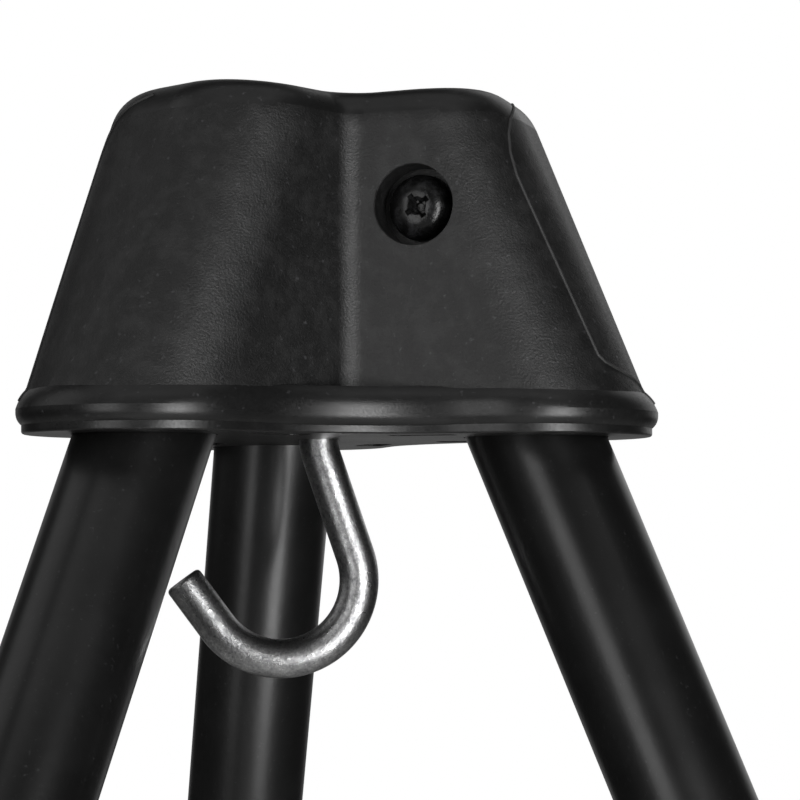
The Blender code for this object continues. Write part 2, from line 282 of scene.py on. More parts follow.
def tidy(piece, distance=0.01 * MM):
    """Joins points this close, drops faces with no area, turns the rest outward."""
    edit(piece)
    bpy.ops.mesh.select_all(action="SELECT")
    bpy.ops.mesh.remove_doubles(threshold=distance)
    bpy.ops.mesh.dissolve_degenerate(threshold=distance)
    bpy.ops.mesh.normals_make_consistent(inside=False)
    return leave()


def smooth(piece, degrees=35, weighted=False):
    """Shades a piece smooth below this angle, larger faces leading if weighted."""
    hold(piece)
    bpy.ops.object.shade_smooth_by_angle(angle=math.radians(degrees))
    if weighted:
        apply(piece, "WEIGHTED_NORMAL", keep_sharp=True, weight=60)
    return piece


def finish_piece(piece, finish, body, slot, *nodes):
    """Gives a finished piece its material and its body, and hides the CAD nodes it stands for."""
    coat(piece, finish)
    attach(piece, body)
    if nodes:
        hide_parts(*nodes)
    return piece


# Surface effects shared by several finishes


def new_group(name, inputs, outputs):
    """A node group with these inputs and with outputs that are all plain values."""
    group = bpy.data.node_groups.new(name, "ShaderNodeTree")
    for label, kind, value in inputs:
        socket = group.interface.new_socket(name=label, in_out="INPUT", socket_type=kind)
        if value is not None:
            socket.default_value = value
    for label in outputs:
        group.interface.new_socket(name=label, in_out="OUTPUT", socket_type="NodeSocketFloat")
    return group, group.nodes.new("NodeGroupInput"), group.nodes.new("NodeGroupOutput")


def feed(tree, node, **values):
    """Sets a node's inputs, or links those given as another node's output."""
    for key, value in values.items():
        socket = node.inputs[key.replace("_", " ")]
        if isinstance(value, bpy.types.NodeSocket):
            tree.links.new(value, socket)
        else:
            socket.default_value = value


def noise(tree, vector, scale, detail, roughness=0.5):
    node = tree.nodes.new("ShaderNodeTexNoise")
    feed(tree, node, Vector=vector, Scale=scale, Detail=detail, Roughness=roughness)
    return node.outputs["Fac"]


def spread(tree, value, low, high, to_low, to_high, smooth_step=False):
    """Maps the range low..high to to_low..to_high."""
    node = tree.nodes.new("ShaderNodeMapRange")
    if smooth_step:
        node.interpolation_type = "SMOOTHSTEP"
    feed(tree, node, Value=value, From_Min=low, From_Max=high, To_Min=to_low, To_Max=to_high)
    return node.outputs["Result"]


def sums(tree, operation, first, second):
    """One arithmetic step between two values or outputs."""
    node = tree.nodes.new("ShaderNodeMath")
    node.operation = operation
    for k, value in enumerate((first, second)):
        if isinstance(value, (int, float)):
            node.inputs[k].default_value = value
        else:
            tree.links.new(value, node.inputs[k])
    return node.outputs["Value"]


def grain_group():
    """Spark-eroded mould grain: fine pits, larger blotches and a height for the bump."""
    group, given, out = new_group(
        "Mould grain",
        [
            ("Vector", "NodeSocketVector", None),
            ("Grain Scale", "NodeSocketFloat", 1500.0),
            ("Blotch Scale", "NodeSocketFloat", 160.0),
        ],
        ["Height", "Pits", "Blotches"],
    )
    vector = given.outputs["Vector"]
    fine = noise(group, vector, given.outputs["Grain Scale"], 3.0, 0.6)
    wide = noise(group, vector, given.outputs["Blotch Scale"], 4.0, 0.65)
    pits = spread(group, fine, 0.40, 0.66, 0.0, 1.0)
    blotches = spread(group, wide, 0.42, 0.66, 0.0, 1.0, True)
    height = sums(group, "ADD", fine, sums(group, "MULTIPLY", wide, 0.6))
    group.links.new(height, out.inputs["Height"])
    group.links.new(pits, out.inputs["Pits"])
    group.links.new(blotches, out.inputs["Blotches"])
    return group


def handling_group():
    """Faint dust and rubbed streaks that every handled surface picks up."""
    group, given, out = new_group(
        "Handling marks",
        [
            ("Vector", "NodeSocketVector", None),
            ("Dust Scale", "NodeSocketFloat", 900.0),
            ("Rub Scale", "NodeSocketFloat", 45.0),
            ("Dust Amount", "NodeSocketFloat", 0.3),
        ],
        ["Dust", "Rub"],
    )
    vector = given.outputs["Vector"]
    specks = noise(group, vector, given.outputs["Dust Scale"], 2.0)
    dusty = spread(group, specks, 0.66, 0.78, 0.0, given.outputs["Dust Amount"])
    streaks = noise(group, vector, given.outputs["Rub Scale"], 5.0, 0.6)
    rub = spread(group, streaks, 0.35, 0.7, 0.0, 1.0)
    group.links.new(dusty, out.inputs["Dust"])
    group.links.new(rub, out.inputs["Rub"])
    return group


_groups = {}


def use_group(tree, make, **values):
    """A shared effect, made once and laid over the piece by its own coordinates."""
    if make not in _groups:
        _groups[make] = make()
    node = tree.nodes.new("ShaderNodeGroup")
    node.node_tree = _groups[make]
    coordinates = tree.nodes.new("ShaderNodeTexCoord")
    feed(tree, node, Vector=coordinates.outputs["Object"], **values)
    return node


def tint(tree, factor, first, second):
    """Blends two colours, the first of them perhaps another node's output."""
    node = tree.nodes.new("ShaderNodeMix")
    node.data_type = "RGBA"
    tree.links.new(factor, node.inputs["Factor"])
    under, over, blend = node.inputs[6], node.inputs[7], node.outputs[2]
    if isinstance(first, bpy.types.NodeSocket):
        tree.links.new(first, under)
    else:
        under.default_value = (*first, 1.0)
    over.default_value = (*second, 1.0)
    return blend


def new_finish(name, **sockets):
    made = bpy.data.materials.new(name)
    made.use_nodes = True
    shader = made.node_tree.nodes["Principled BSDF"]
    feed(made.node_tree, shader, **sockets)
    return made, made.node_tree, shader


def bump(tree, shader, height, distance):
    node = tree.nodes.new("ShaderNodeBump")
    feed(tree, node, Strength=1.0, Distance=distance, Height=height)
    tree.links.new(node.outputs["Normal"], shader.inputs["Normal"])


def moulded_finish(name, dark, light, rough, grain, depth):
    """Black moulded plastic with a spark-eroded grain."""
    made, tree, shader = new_finish(name, Metallic=0.0, IOR=1.49, Specular_IOR_Level=0.5)
    texture = use_group(tree, grain_group, Grain_Scale=grain, Blotch_Scale=grain / 9)
    marks = use_group(tree, handling_group, Dust_Amount=0.35)
    base = tint(tree, texture.outputs["Blotches"], dark, light)
    shown = tint(tree, marks.outputs["Dust"], base, (0.10, 0.10, 0.105))
    uneven = spread(tree, texture.outputs["Pits"], 0.0, 1.0, rough + 0.05, rough - 0.05)
    rubbed = spread(tree, marks.outputs["Rub"], 0.0, 1.0, 0.03, -0.03)
    feed(tree, shader, Base_Color=shown, Roughness=sums(tree, "ADD", uneven, rubbed))
    bump(tree, shader, texture.outputs["Height"], depth)
    return made


def painted_finish(name, colour, rough, depth):
    """Black powder coat on steel tube: a faint orange-peel with fine dust."""
    made, tree, shader = new_finish(
        name, Metallic=0.0, IOR=1.5, Coat_Weight=0.12, Coat_Roughness=0.2
    )
    texture = use_group(tree, grain_group, Grain_Scale=520.0, Blotch_Scale=60.0)
    marks = use_group(tree, handling_group, Dust_Scale=1300.0, Dust_Amount=0.30)
    lighter = tuple(c * 1.5 for c in colour)
    base = tint(tree, texture.outputs["Blotches"], colour, lighter)
    shown = tint(tree, marks.outputs["Dust"], base, (0.07, 0.07, 0.072))
    uneven = spread(tree, marks.outputs["Rub"], 0.0, 1.0, rough - 0.03, rough + 0.04)
    feed(tree, shader, Base_Color=shown, Roughness=uneven)
    bump(tree, shader, texture.outputs["Height"], depth)
    return made


def zinc_finish(name):
    """Bright zinc plate on cold-bent steel: cloudy spangle and small dark nicks."""
    made, tree, shader = new_finish(name, Metallic=1.0)
    coordinates = tree.nodes.new("ShaderNodeTexCoord")
    vector = coordinates.outputs["Object"]
    cloud = noise(tree, vector, 420.0, 6.0, 0.7)
    spangle = noise(tree, vector, 1700.0, 4.0, 0.65)
    nicks = noise(tree, vector, 900.0, 3.0, 0.55)
    clouds = sums(tree, "MULTIPLY", cloud, 0.55)
    mixed = sums(tree, "ADD", clouds, sums(tree, "MULTIPLY", spangle, 0.45))
    tone = spread(tree, mixed, 0.38, 0.62, 0.0, 1.0)
    plate = tint(tree, tone, (0.19, 0.19, 0.195), (0.52, 0.52, 0.52))
    worn = spread(tree, nicks, 0.60, 0.74, 0.0, 0.6)
    shown = tint(tree, worn, plate, (0.12, 0.12, 0.12))
    rough = spread(tree, mixed, 0.36, 0.64, 0.42, 0.24)
    feed(tree, shader, Base_Color=shown, Roughness=rough)
    bump(tree, shader, mixed, 0.00016)
    return made


def dark_steel_finish(name):
    """Black-oxide steel, oily and smooth, a little lighter in blotches."""
    made, tree, shader = new_finish(name, Metallic=0.0, IOR=1.5, Specular_IOR_Level=0.35)
    texture = use_group(tree, grain_group, Grain_Scale=1400.0, Blotch_Scale=420.0)
    marks = use_group(tree, handling_group, Rub_Scale=220.0, Dust_Amount=0.2)
    base = tint(tree, texture.outputs["Blotches"], (0.004, 0.004, 0.004), (0.018, 0.018, 0.019))
    uneven = spread(tree, marks.outputs["Rub"], 0.0, 1.0, 0.20, 0.34)
    feed(tree, shader, Base_Color=base, Roughness=uneven)
    bump(tree, shader, texture.outputs["Height"], 0.00006)
    return made


def rubber_finish(name):
    """Dull black rubber with dust in its grain."""
    made, tree, shader = new_finish(name, Metallic=0.0, IOR=1.5, Specular_IOR_Level=0.35)
    texture = use_group(tree, grain_group, Grain_Scale=900.0, Blotch_Scale=90.0)
    marks = use_group(tree, handling_group, Dust_Amount=0.5, Rub_Scale=70.0)
    base = tint(tree, texture.outputs["Blotches"], (0.012, 0.012, 0.012), (0.022, 0.022, 0.021))
    shown = tint(tree, marks.outputs["Dust"], base, (0.09, 0.085, 0.08))
    uneven = spread(tree, marks.outputs["Rub"], 0.0, 1.0, 0.62, 0.78)
    feed(tree, shader, Base_Color=shown, Roughness=uneven)
    bump(tree, shader, texture.outputs["Height"], 0.00012)
    return made


def plain_finish(name, low, high, metallic=1.0, rough=(0.28, 0.42)):
    """A small part of one colour, slightly uneven."""
    made, tree, shader = new_finish(name, Metallic=metallic)
    texture = use_group(tree, grain_group, Grain_Scale=800.0, Blotch_Scale=200.0)
    base = tint(tree, texture.outputs["Blotches"], low, high)
    uneven = spread(tree, texture.outputs["Pits"], 0.0, 1.0, *rough)
    feed(tree, shader, Base_Color=base, Roughness=uneven)
    bump(tree, shader, texture.outputs["Height"], 0.00005)
    return made


FINISHES = {
    "moulded": lambda: moulded_finish(
        "Moulded plastic, grained", (0.006,) * 3, (0.014,) * 3, 0.46, 2300.0, 0.00010
    ),
    "moulded_smooth": lambda: moulded_finish(
        "Moulded plastic, smooth", (0.0075,) * 3, (0.010,) * 3, 0.33, 2300.0, 0.00002
    ),
    # The flash is the same black plastic as the body; its lighter colour is a painted highlight
    # along the ridge.
    "flash": lambda: moulded_finish(
        "Moulded plastic, flash", (0.026,) * 3, (0.034,) * 3, 0.55, 2300.0, 0.00002
    ),
    "painted": lambda: painted_finish("Black powder coat", (0.0045,) * 3, 0.33, 0.00003),
    "zinc": lambda: zinc_finish("Zinc plate, cold bent"),
    "dark_steel": lambda: dark_steel_finish("Black oxide steel"),
    "rubber": lambda: rubber_finish("Black rubber"),
    "brass": lambda: plain_finish("Turned brass", (0.55, 0.38, 0.14), (0.76, 0.55, 0.24)),
    "nylon": lambda: plain_finish(
        "Natural nylon", (0.62, 0.61, 0.57), (0.74, 0.73, 0.70), 0.0, (0.4, 0.55)
    ),
}
_made = {}


def coat(piece, key):
    """Gives a piece one finish and no other."""
    piece.data.materials.clear()
    piece.data.materials.append(finish_named(key))


def finish_named(key):
    if key not in _made:
        _made[key] = FINISHES[key]()
    return _made[key]


# Sizes a user would change


class StandHeadSizes(bpy.types.PropertyGroup):
    half_width: bpy.props.FloatProperty(
        name="Lobe half width", description="From a lobe's middle to its flat side",
        default=23.75 * MM, unit="LENGTH")
    corner_low: bpy.props.FloatProperty(
        name="Lobe corner, base", description="Plan radius of a lobe's corners at the base",
        default=23.4 * MM, unit="LENGTH")
    corner_high: bpy.props.FloatProperty(
        name="Lobe corner, top", description="Plan radius of a lobe's corners at the top",
        default=18.4 * MM, unit="LENGTH")
    reach_low: bpy.props.FloatProperty(
        name="Lobe end, base", description="From the hub's axis to a lobe's end at the base",
        default=68.1 * MM, unit="LENGTH")
    reach_high: bpy.props.FloatProperty(
        name="Lobe end, top", description="From the hub's axis to a lobe's end at the top",
        default=40.1 * MM, unit="LENGTH")
    bead: bpy.props.FloatProperty(
        name="Bead", description="How far the rim's bead stands out from the walls",
        default=1.2 * MM, unit="LENGTH")
    valley: bpy.props.FloatProperty(
        name="Valley fillet", description="Radius of the hollow between two lobes",
        default=5.5 * MM, unit="LENGTH")
    top_round: bpy.props.FloatProperty(
        name="Top rounding", description="How far the top edge is rounded over",
        default=7.7 * MM, unit="LENGTH")
    rim_height: bpy.props.FloatProperty(
        name="Rim height", description="Height of the bead round the foot of the head",
        default=8.5 * MM, unit="LENGTH")
    flash: bpy.props.FloatProperty(
        name="Parting line", description="Radius of the fine mould line on each lobe",
        default=0.32 * MM, unit="LENGTH")


class StandHookSizes(bpy.types.PropertyGroup):
    wire: bpy.props.FloatProperty(
        name="Rod radius", description="Radius of the hook's bent rod",
        default=3.85 * MM, unit="LENGTH")
    bowl: bpy.props.FloatProperty(
        name="Bowl radius", description="Radius of the bowl at the rod's middle",
        default=15.4 * MM, unit="LENGTH")
    lean: bpy.props.FloatProperty(
        name="Shank lean", description="How far the shank leans from upright",
        default=math.radians(18.7), subtype="ANGLE")
    sweep: bpy.props.FloatProperty(
        name="Bowl end", description="Where the bowl ends, measured from level",
        default=math.radians(-143.4), subtype="ANGLE")
    arm: bpy.props.FloatProperty(
        name="Arm length", description="Straight arm past the bowl",
        default=11.6 * MM, unit="LENGTH")
    turn: bpy.props.FloatProperty(
        name="Hook turn", description="How the hook is turned about its shank",
        default=math.radians(-12.48), subtype="ANGLE")


class StandLegSizes(bpy.types.PropertyGroup):
    upper: bpy.props.FloatProperty(
        name="Upper tube radius", description="Outside radius of the fixed tube",
        default=12.7 * MM, unit="LENGTH")
    lower: bpy.props.FloatProperty(
        name="Lower tube radius", description="Outside radius of the sliding tube",
        default=11.1 * MM, unit="LENGTH")
    wall: bpy.props.FloatProperty(
        name="Tube wall", description="Wall thickness of both tubes",
        default=1.2 * MM, unit="LENGTH")


class StandLooks(bpy.types.PropertyGroup):
    key: bpy.props.FloatProperty(
        name="Right light", description="Soft light on the right, in watts", default=20.0)
    fill: bpy.props.FloatProperty(
        name="Left light", description="Soft light on the left, in watts", default=5.9)
    back: bpy.props.FloatProperty(
        name="Back light", description="Wide light behind, in watts", default=3.6)
    wrap: bpy.props.FloatProperty(
        name="Wrap lights", description="High lights to either side, in watts", default=3.0)
    low: bpy.props.FloatProperty(
        name="Low light", description="Soft light from below, in watts", default=1.0)
    high: bpy.props.FloatProperty(
        name="High front light", description="Wide light above the front, in watts", default=1.4)
    top: bpy.props.FloatProperty(
        name="Top light", description="Soft light overhead, in watts", default=3.6)
    surround: bpy.props.FloatProperty(
        name="Surround", description="Brightness of the room round the stand",
        default=0.022)
    floor: bpy.props.FloatVectorProperty(
        name="Floor colour", description="Colour of the plain floor", subtype="COLOR",
        default=(0.82, 0.82, 0.81))


# Modelling


def lobe_end(height, size):
    """How far a lobe reaches from the hub's axis at a height."""
    return size.reach_low + (size.reach_high - size.reach_low) * height / HUB_HEIGHT


def lobe_corner(height, size):
    """Plan radius of a lobe's corners at a height."""
    return size.corner_low + (size.corner_high - size.corner_low) * height / HUB_HEIGHT


def three_lobes(name, half, valley, low, high, base, top):
    """Three lobes joined round the hub axis, each leaning with its leg, valleys filleted.

    base and top each hold a lobe's outer end and its corners' plan radius.
    """
    (base_end, base_corner), (top_end, top_corner) = base, top
    lobe = block(name, (0, -half, low), (base_end, half, high))
    far = base_end - MM
    pick_edges(lobe, lambda a, b: a.x > far and b.x > far and abs(a.z - b.z) > MM)
    bevel(base_corner, CORNER_STEPS)
    leave()
    for side in (1, -1):
        pick_verts(lobe, lambda p: p.z > high - MM / 10 and p.x > MM and p.y * side > 0)
        corner = (base_end, side * half, high)
        bpy.ops.transform.resize(value=(top_corner / base_corner,) * 3, center_override=corner)
        leave()
    pick_verts(lobe, lambda p: p.z > high - MM / 10 and p.x > MM)
    bpy.ops.transform.translate(value=(top_end - base_end, 0, 0))
    leave()
    settle(lobe, turn_about_z(90))
    others = [copy_of(lobe, f"{name}_{turn}", turn_about_z(turn)) for turn in (120, 240)]
    for other in others:
        combine(lobe, other, "UNION")
    edit(lobe)
    bpy.ops.mesh.select_all(action="SELECT")
    bpy.ops.mesh.remove_doubles(threshold=0.002 * MM)
    bpy.ops.mesh.dissolve_limited(angle_limit=math.radians(0.6))
    leave()
    reach = half / math.sin(math.radians(60))

    def in_valley(a, b):
        close = abs(a.xy.length - reach) < MM / 5 and abs(b.xy.length - reach) < MM / 5
        return close and abs(a.z - b.z) > MM

    pick_edges(lobe, in_valley)
    bevel(valley * math.tan(math.radians(30)), VALLEY_STEPS)
    return leave()


def level_edges(piece, height, width, segments, profile=0.5):
    """Rounds the edges that lie at one height."""
    pick_edges(piece, lambda a, b: abs(a.z - height) < MM / 20 and abs(b.z - height) < MM / 20)
    bevel(width, segments, profile)
    return leave()


def build_rim(size):
    """The bead round the foot of the head, with the narrow lip under it."""
    under, widest, web, over = 1.0 * MM, 4.6 * MM, 8.8 * MM, 10.2 * MM
    out, lip_in, hollow = 1.1 * MM, 1.2 * MM, 38 * MM
    corner = size.corner_low + size.bead
    half = size.half_width + size.bead
    rim = three_lobes(
        "hub_rim", half, hollow, widest, over,
        (lobe_end(widest, size) + out, corner), (lobe_end(over, size) + out, corner),
    )
    level_edges(rim, over, 5.2 * MM, 14)
    pick_faces(rim, lambda c, n: n.z < -0.9)
    bpy.ops.mesh.extrude_region_move(TRANSFORM_OT_translate={"value": (0, 0, under - widest)})
    leave()
    level_edges(rim, under, 2.9 * MM, 12)
    lip_end = (lobe_end(widest, size) + out - lip_in, corner - lip_in)
    combine(rim, drum("ledge", 50 * MM, web, 20 * MM, ROUND))
    lip = three_lobes("hub_lip", half - MM, hollow - MM, 0, 4 * MM, lip_end, lip_end)
    level_edges(lip, 0, 0.5 * MM, 4)
    return combine(rim, lip, "UNION")


def build_shell(size):
    """The moulded head: leaning lobes, rounded top, beaded rim, sockets, pockets and recesses."""
    body = three_lobes(
        "hub_moulding", size.half_width, size.valley, 0, HUB_HEIGHT,
        (size.reach_low, size.corner_low), (size.reach_high, size.corner_high),
    )
    level_edges(body, HUB_HEIGHT, size.top_round, 14, 0.58)
    dip, dip_width = 1.4 * MM, 29 * MM
    reach = size.half_width / math.sin(math.radians(60)) - 4 * MM

    def near_valley(p):
        turn = math.degrees(math.atan2(p.y, p.x)) % 120
        beside = abs(turn - 30) < 7 and abs(p.xy.length - reach) < 9 * MM
        return p.z > HUB_HEIGHT - 9 * MM and beside

    pick_verts(body, near_valley)
    bpy.ops.transform.translate(
        value=(0, 0, -dip), use_proportional_edit=True,
        proportional_edit_falloff="SMOOTH", proportional_size=dip_width,
    )
    leave()
    combine(body, block("trim", (-WIDE, -WIDE, -0.01), (WIDE, WIDE, 5 * MM)))
    combine(body, build_rim(size), "UNION")
    into = hub_frame().inverted()
    face = size.half_width
    socket_radius, recess_radius, hole_radius = 13.0 * MM, 7.55 * MM, 3.3 * MM
    for _, degrees in PLACES:
        socket = drum("socket", socket_radius, -60 * MM, SOCKET_TOP / math.cos(SPLAY), ROUND)
        combine(body, settle(socket, into @ leg_frame(degrees)))
        recess = drum("recess", recess_radius, SCREW_SEAT, 40 * MM, ROUND)
        mouth = drum("mouth", 7.3 * MM, face - 0.6 * MM, face + 0.9 * MM, ROUND, 8.4 * MM)
        combine(recess, mouth, "UNION")
        combine(body, settle(recess, into @ screw_frame(degrees)))
        hole = drum("hole", hole_radius, 10 * MM, 20 * MM, 32)
        combine(body, settle(hole, into @ screw_frame(degrees)))
        for side, top in ((1, 50), (-1, 32)):
            low, high = sorted((side * 14.6 * MM, side * 20.2 * MM))
            slot = block("slot", (19.5 * MM, low, -5 * MM), (32.5 * MM, high, top * MM))
            pick_edges(slot, lambda a, b: abs(a.z - b.z) > MM)
            bevel(1.8 * MM, 5)
            leave()
            combine(body, settle(slot, turn_about_z(degrees)))
    combine(body, drum("bore", 4.25 * MM, -5 * MM, 53 * MM, HALF_ROUND))
    combine(body, drum("cap_seat", 12.3 * MM, 52 * MM, HUB_HEIGHT + 5 * MM, ROUND))
    return body


def rod_along(name, points, radius, resolution):
    """A round rod swept along a line of points."""
    fresh()
    bpy.ops.curve.primitive_nurbs_path_add()
    line = named(name)
    line.data.splines.clear()
    spline = line.data.splines.new("POLY")
    spline.points.add(len(points) - 1)
    for point, place in zip(spline.points, points):
        point.co = (*place, 1.0)
    line.data.dimensions = "3D"
    line.data.bevel_depth = radius
    line.data.bevel_resolution = resolution
    line.data.use_fill_caps = True
    hold(line)
    bpy.ops.object.convert(target="MESH")
    return tidy(named(name))


def parting_line(body, size, degrees, name, flared):
    """The fine raised line that a mould's halves leave down one lobe, from the top to the rim.

    Each key is a turn round the lobe's corner in degrees and a height in millimetres.
    """
    keys = [(9, 65.6), (1, 64.4), (-10, 62.6), (-20, 60.4), (-28, 57.2), (-33, 53.6), (-35.5, 49)]
    keys += [(-35.5 + 5 * k / 8, 49 - 34 * k / 8) for k in range(1, 9)]
    if flared:
        keys += [(-27.5, 13.8), (-21, 12.8), (-13, 11.9), (-4, 11), (4, 9.9), (8, 8.2), (10, 6)]
    else:
        keys += [(-30, 10.4), (-30, 8.4), (-30, 6)]
    points = []
    for turn, height in keys:
        angle, height = math.radians(turn), height * MM
        corner = lobe_corner(height, size)
        middle = Vector((lobe_end(height, size) - corner, corner - size.half_width, height))
        away = corner + 0.8 * MM
        guess = middle + away * Vector((math.cos(angle), math.sin(angle), 0))
        points.append(body.closest_point_on_mesh(turn_about_z(degrees) @ guess)[1])
    smoother = []
    for first, second in zip(points, points[1:]):
        smoother += [first.lerp(second, k / 4) for k in range(4)]
    snapped = [body.closest_point_on_mesh(p)[1] for p in [*smoother, points[-1]]]
    return rod_along(name, snapped, size.flash, 3)


class STAND_OT_head(bpy.types.Operator):
    """Models the moulded three-lobed head and its top cap"""

    bl_idname = "stand.head"
    bl_label = "Moulded head"

    def execute(self, context):
        size = context.scene.stand_head
        body = build_shell(size)
        body.name = "hub_shell_moulding"
        tidy(body, 0.03 * MM)
        lines = [
            parting_line(body, size, degrees, f"parting_line_{name}", name == LINE_FLARES_ON)
            for name, degrees in PLACES
        ]
        smooth(body, 12, True)
        settle(body, hub_frame())
        finish_piece(body, "moulded", "stand", "black_plastic", "hub_shell")
        body.data.materials.append(finish_named("moulded_smooth"))
        edge = HUB_BASE + size.rim_height + 0.2 * MM
        top = HUB_BASE + HUB_HEIGHT - size.top_round + 1.6 * MM
        pick_faces(body, lambda c, n: c.z < edge or c.z > top)
        context.object.active_material_index = 1
        bpy.ops.object.material_slot_assign()
        leave()
        for line in lines:
            settle(line, hub_frame())
            smooth(line, 60)
            # The flash finish is lighter than the body: a painted highlight on each parting line.
            finish_piece(line, "flash", "stand", "black_plastic")
        low, high = (corner.z - HUB_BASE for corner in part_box("hub_cap"))
        cap = drum("hub_cap_disc", 12.0 * MM, low, high, ROUND)
        pick_faces(cap, lambda c, n: n.z > 0.9)
        bpy.ops.mesh.inset(thickness=2.2 * MM, depth=0)
        bpy.ops.mesh.inset(thickness=0.5 * MM, depth=-0.5 * MM)
        leave()
        soften(cap, 0.5 * MM, 3)
        settle(smooth(cap), hub_frame())
        finish_piece(cap, "moulded_smooth", "stand", "black_plastic", "hub_cap")
        return {"FINISHED"}


END_ROUND = 0.9 * MM


def hook_points(size):
    """Centreline of the hook in its own plane, from the threaded end to the open tip."""
    centre = Vector((-7.5 * MM, 0, -27.5 * MM))
    top, bend, lean = 62.1 * MM, 12 * MM, size.lean
    begin = centre + size.bowl * Vector((math.cos(lean), 0, math.sin(lean)))
    knee = begin.z + begin.x / math.tan(lean)
    reach = bend * math.tan(lean / 2)
    points = [Vector((0, 0, top - k * (top - knee - reach) / 12)) for k in range(13)]
    for k in range(1, 9):
        angle = lean * k / 8
        across, down = bend * (1 - math.cos(angle)), bend * math.sin(angle)
        points.append(Vector((across, 0, knee + reach - down)))
    last = points[-1]
    for k in range(1, 8):
        points.append(last + (begin - last) * k / 8)
    for k in range(61):
        angle = lean + (size.sweep - lean) * k / 60
        points.append(centre + size.bowl * Vector((math.cos(angle), 0, math.sin(angle))))
    onward = Vector((math.sin(size.sweep), 0, -math.cos(size.sweep)))
    last = points[-1]
    for k in range(1, 6):
        points.append(last + onward * (size.arm - END_ROUND) * k / 5)
    return points


def round_end(rod, centre, onward, radius, edge):
    """Rounds a rod's cut end by drawing its cap out in ever smaller rings."""

    def on_cap(p):
        return abs((p - centre).dot(onward)) < 0.02 * MM and (p - centre).length < radius * 1.05

    pick_verts(rod, on_cap)
    ring, at = radius, 0.0
    for k in range(1, 6):
        angle = math.radians(90 * k / 5)
        wider = radius - edge * (1 - math.cos(angle))
        further = edge * math.sin(angle)
        bpy.ops.mesh.extrude_region_move(
            TRANSFORM_OT_translate={"value": onward * (further - at)}
        )
        bpy.ops.transform.resize(
            value=(wider / ring,) * 3, center_override=centre + onward * further
        )
        ring, at = wider, further
    leave()


class STAND_OT_hook(bpy.types.Operator):
    """Bends the plated rod hook"""

    bl_idname = "stand.hook"
    bl_label = "Swivel hook"

    def execute(self, context):
        size = context.scene.stand_hook
        points = hook_points(size)
        hook = rod_along("hook_rod", points, size.wire, 14)
        for end, before in ((points[-1], points[-2]), (points[0], points[1])):
            round_end(hook, end, (end - before).normalized(), size.wire, END_ROUND)
        smooth(hook, 45)
        settle(hook, hub_frame(math.degrees(size.turn)))
        finish_piece(hook, "zinc", "hook", "zinc", "hook")
        for node in ("hook_washer", "hook_nut"):
            coat(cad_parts[node], "zinc")
        return {"FINISHED"}


class STAND_OT_screws(bpy.types.Operator):
    """Models the cross-head screws that hold the tubes in the head"""

    bl_idname = "stand.screws"
    bl_label = "Cross screws"

    def execute(self, context):
        low = SCREW_SEAT + GAP
        top = low + 4.6 * MM
        head = drum("screw_head", 6.3 * MM, low, top, ROUND)
        pick_edges(head, lambda a, b: a.z > top - MM / 10 and b.z > top - MM / 10)
        bevel(4.1 * MM, 16)
        leave()
        pick_edges(head, lambda a, b: a.z < low + MM / 10 and b.z < low + MM / 10)
        bevel(0.25 * MM, 3)
        leave()
        wings = []
        for turn in (12, 102):
            corners = (-3.1 * MM, -0.6 * MM, top - 2.4 * MM), (3.1 * MM, 0.6 * MM, top + MM)
            wing = block("wing", *corners)
            pick_verts(wing, lambda p: p.z < top - MM)
            bpy.ops.transform.resize(value=(0.42, 0.72, 1.0), center_override=(0, 0, 0))
            leave()
            wings.append(settle(wing, turn_about_z(turn)))
        cross = combine(*wings, "UNION")
        core = drum("core", 0.7 * MM, top - 3.0 * MM, top + MM, 24, 2.1 * MM)
        combine(cross, core, "UNION")
        combine(head, cross)
        shank = drum("shank", 3.0 * MM, -19 * MM, low + MM, 32)
        combine(head, shank, "UNION")
        soften(head, 0.12 * MM, 2, 38)
        smooth(head, 40)
        for name, degrees in PLACES:
            node = f"leg_screw_{name}"
            screw = copy_of(head, f"{node}_pan", screw_frame(degrees))
            finish_piece(screw, "dark_steel", "stand", "black_steel", node)
            coat(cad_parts[f"leg_nut_{name}"], "zinc")
        drop(head)
        return {"FINISHED"}


def open_tube(name, radius, wall, low, high):
    """A tube with broken edges at both ends."""
    fresh()
    bpy.ops.mesh.primitive_cylinder_add(
        vertices=ROUND, radius=radius, depth=high - low, end_fill_type="NOTHING",
        location=(0, 0, (low + high) / 2),
    )
    tube = settle(named(name))
    apply(tube, "SOLIDIFY", thickness=wall, offset=-1)
    soften(tube, 0.25 * MM, 2, 60)
    return smooth(tube, 50)


class STAND_OT_tubes(bpy.types.Operator):
    """Models the fixed and the sliding tube of every leg"""

    bl_idname = "stand.tubes"
    bl_label = "Leg tubes"

    def execute(self, context):
        size = context.scene.stand_legs
        top = TUBE_TOP / math.cos(SPLAY)
        upper = open_tube("tube_a", size.upper, size.wall, COLLAR_MIDDLE, top)
        lower = open_tube("tube_b", size.lower, size.wall, LOWER_TUBE_FOOT, LOWER_TUBE_TOP)
        for name, degrees in PLACES:
            for tube, node, body in (
                (upper, f"upper_tube_{name}", "stand"),
                (lower, f"lower_tube_{name}", f"lower_leg_{name}"),
            ):
                piece = copy_of(tube, f"{node}_coated", leg_frame(degrees))
                finish_piece(piece, "painted", body, "black_paint", node)
            coat(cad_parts[f"guide_bush_{name}"], "nylon")
        drop(upper)
        drop(lower)
        return {"FINISHED"}


